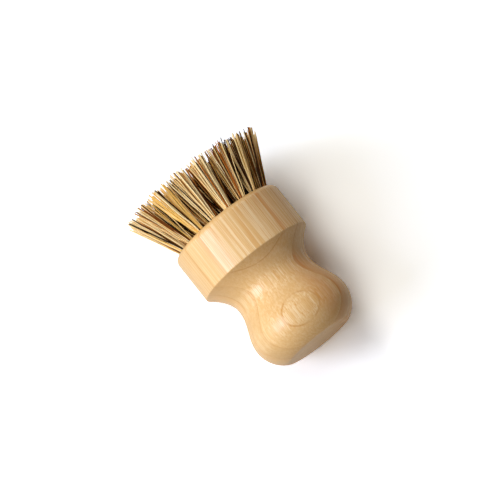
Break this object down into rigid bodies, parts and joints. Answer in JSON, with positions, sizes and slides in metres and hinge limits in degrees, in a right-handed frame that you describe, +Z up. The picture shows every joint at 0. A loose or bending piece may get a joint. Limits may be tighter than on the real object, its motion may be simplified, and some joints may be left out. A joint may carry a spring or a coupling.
{
  "type": "palm brush",
  "caption": "Palm-held scrubbing brush: waisted round wooden handle with a ball-like knob and a flared pad of stiff, flat-trimmed plant fibre tufts.",
  "frame": {"origin": "on the surface that the brush lies on, under the middle of its bounding box", "axes": "+Z up; +X along the brush towards the knob's flat end, as it lies on its side; +Y across"},
  "size_m": [0.0938, 0.0678, 0.0667],
  "materials": {
    "bamboo": "satin lacquer over laminated bamboo",
    "fibre": "dry matte mixed plant fibre, straw to dark brown",
    "anchor_wire": "galvanised flat wire"
  },
  "bodies": {
    "root": {"handle": "bamboo", "tuft_01": "fibre", "tuft_02": "fibre", "tuft_03": "fibre", "tuft_04": "fibre", "tuft_05": "fibre", "tuft_06": "fibre", "tuft_07": "fibre", "tuft_08": "fibre", "tuft_09": "fibre", "tuft_10": "fibre", "tuft_11": "fibre", "tuft_12": "fibre", "tuft_13": "fibre", "tuft_14": "fibre", "tuft_15": "fibre", "tuft_16": "fibre", "tuft_17": "fibre", "tuft_18": "fibre", "tuft_19": "fibre", "tuft_20": "fibre", "tuft_21": "fibre", "tuft_22": "fibre", "tuft_23": "fibre", "tuft_24": "fibre", "tuft_25": "fibre", "tuft_26": "fibre", "tuft_27": "fibre", "tuft_28": "fibre", "tuft_29": "fibre", "tuft_30": "fibre", "tuft_31": "fibre", "tuft_32": "fibre", "tuft_33": "fibre", "tuft_34": "fibre", "tuft_anchors": "anchor_wire"}
  },
  "joints": []
}
